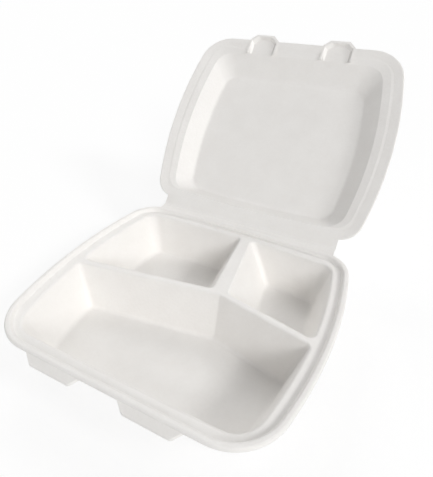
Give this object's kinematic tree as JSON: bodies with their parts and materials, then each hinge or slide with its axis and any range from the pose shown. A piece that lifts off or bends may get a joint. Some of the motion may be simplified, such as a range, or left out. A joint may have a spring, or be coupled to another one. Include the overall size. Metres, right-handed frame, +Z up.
{
  "type": "hinged foam meal container",
  "caption": "Hinged foam meal box, shown open: a tray with divided compartments and latch tongues, and a shallow domed lid with latch pockets.",
  "frame": {"origin": "on the table, under the middle of the front compartment", "axes": "+X to the right seen from the front, +Y from the front latch edge towards the hinge, +Z up; the lid is shown open, leaning back over +Y"},
  "size_m": [0.24, 0.3607, 0.1971],
  "materials": {
    "tray_foam": "matte white expanded polystyrene foam",
    "lid_foam": "matte white expanded polystyrene foam"
  },
  "bodies": {
    "tray": {"tray": "tray_foam"},
    "lid": {"lid": "lid_foam"}
  },
  "joints": [
    {"name": "lid_hinge", "type": "hinge", "parent": "tray", "child": "lid", "pos_m": [0, 0.1464, 0.0436], "axis": [-1, 0, 0], "range_deg": [-133.2, 46.8]}
  ]
}
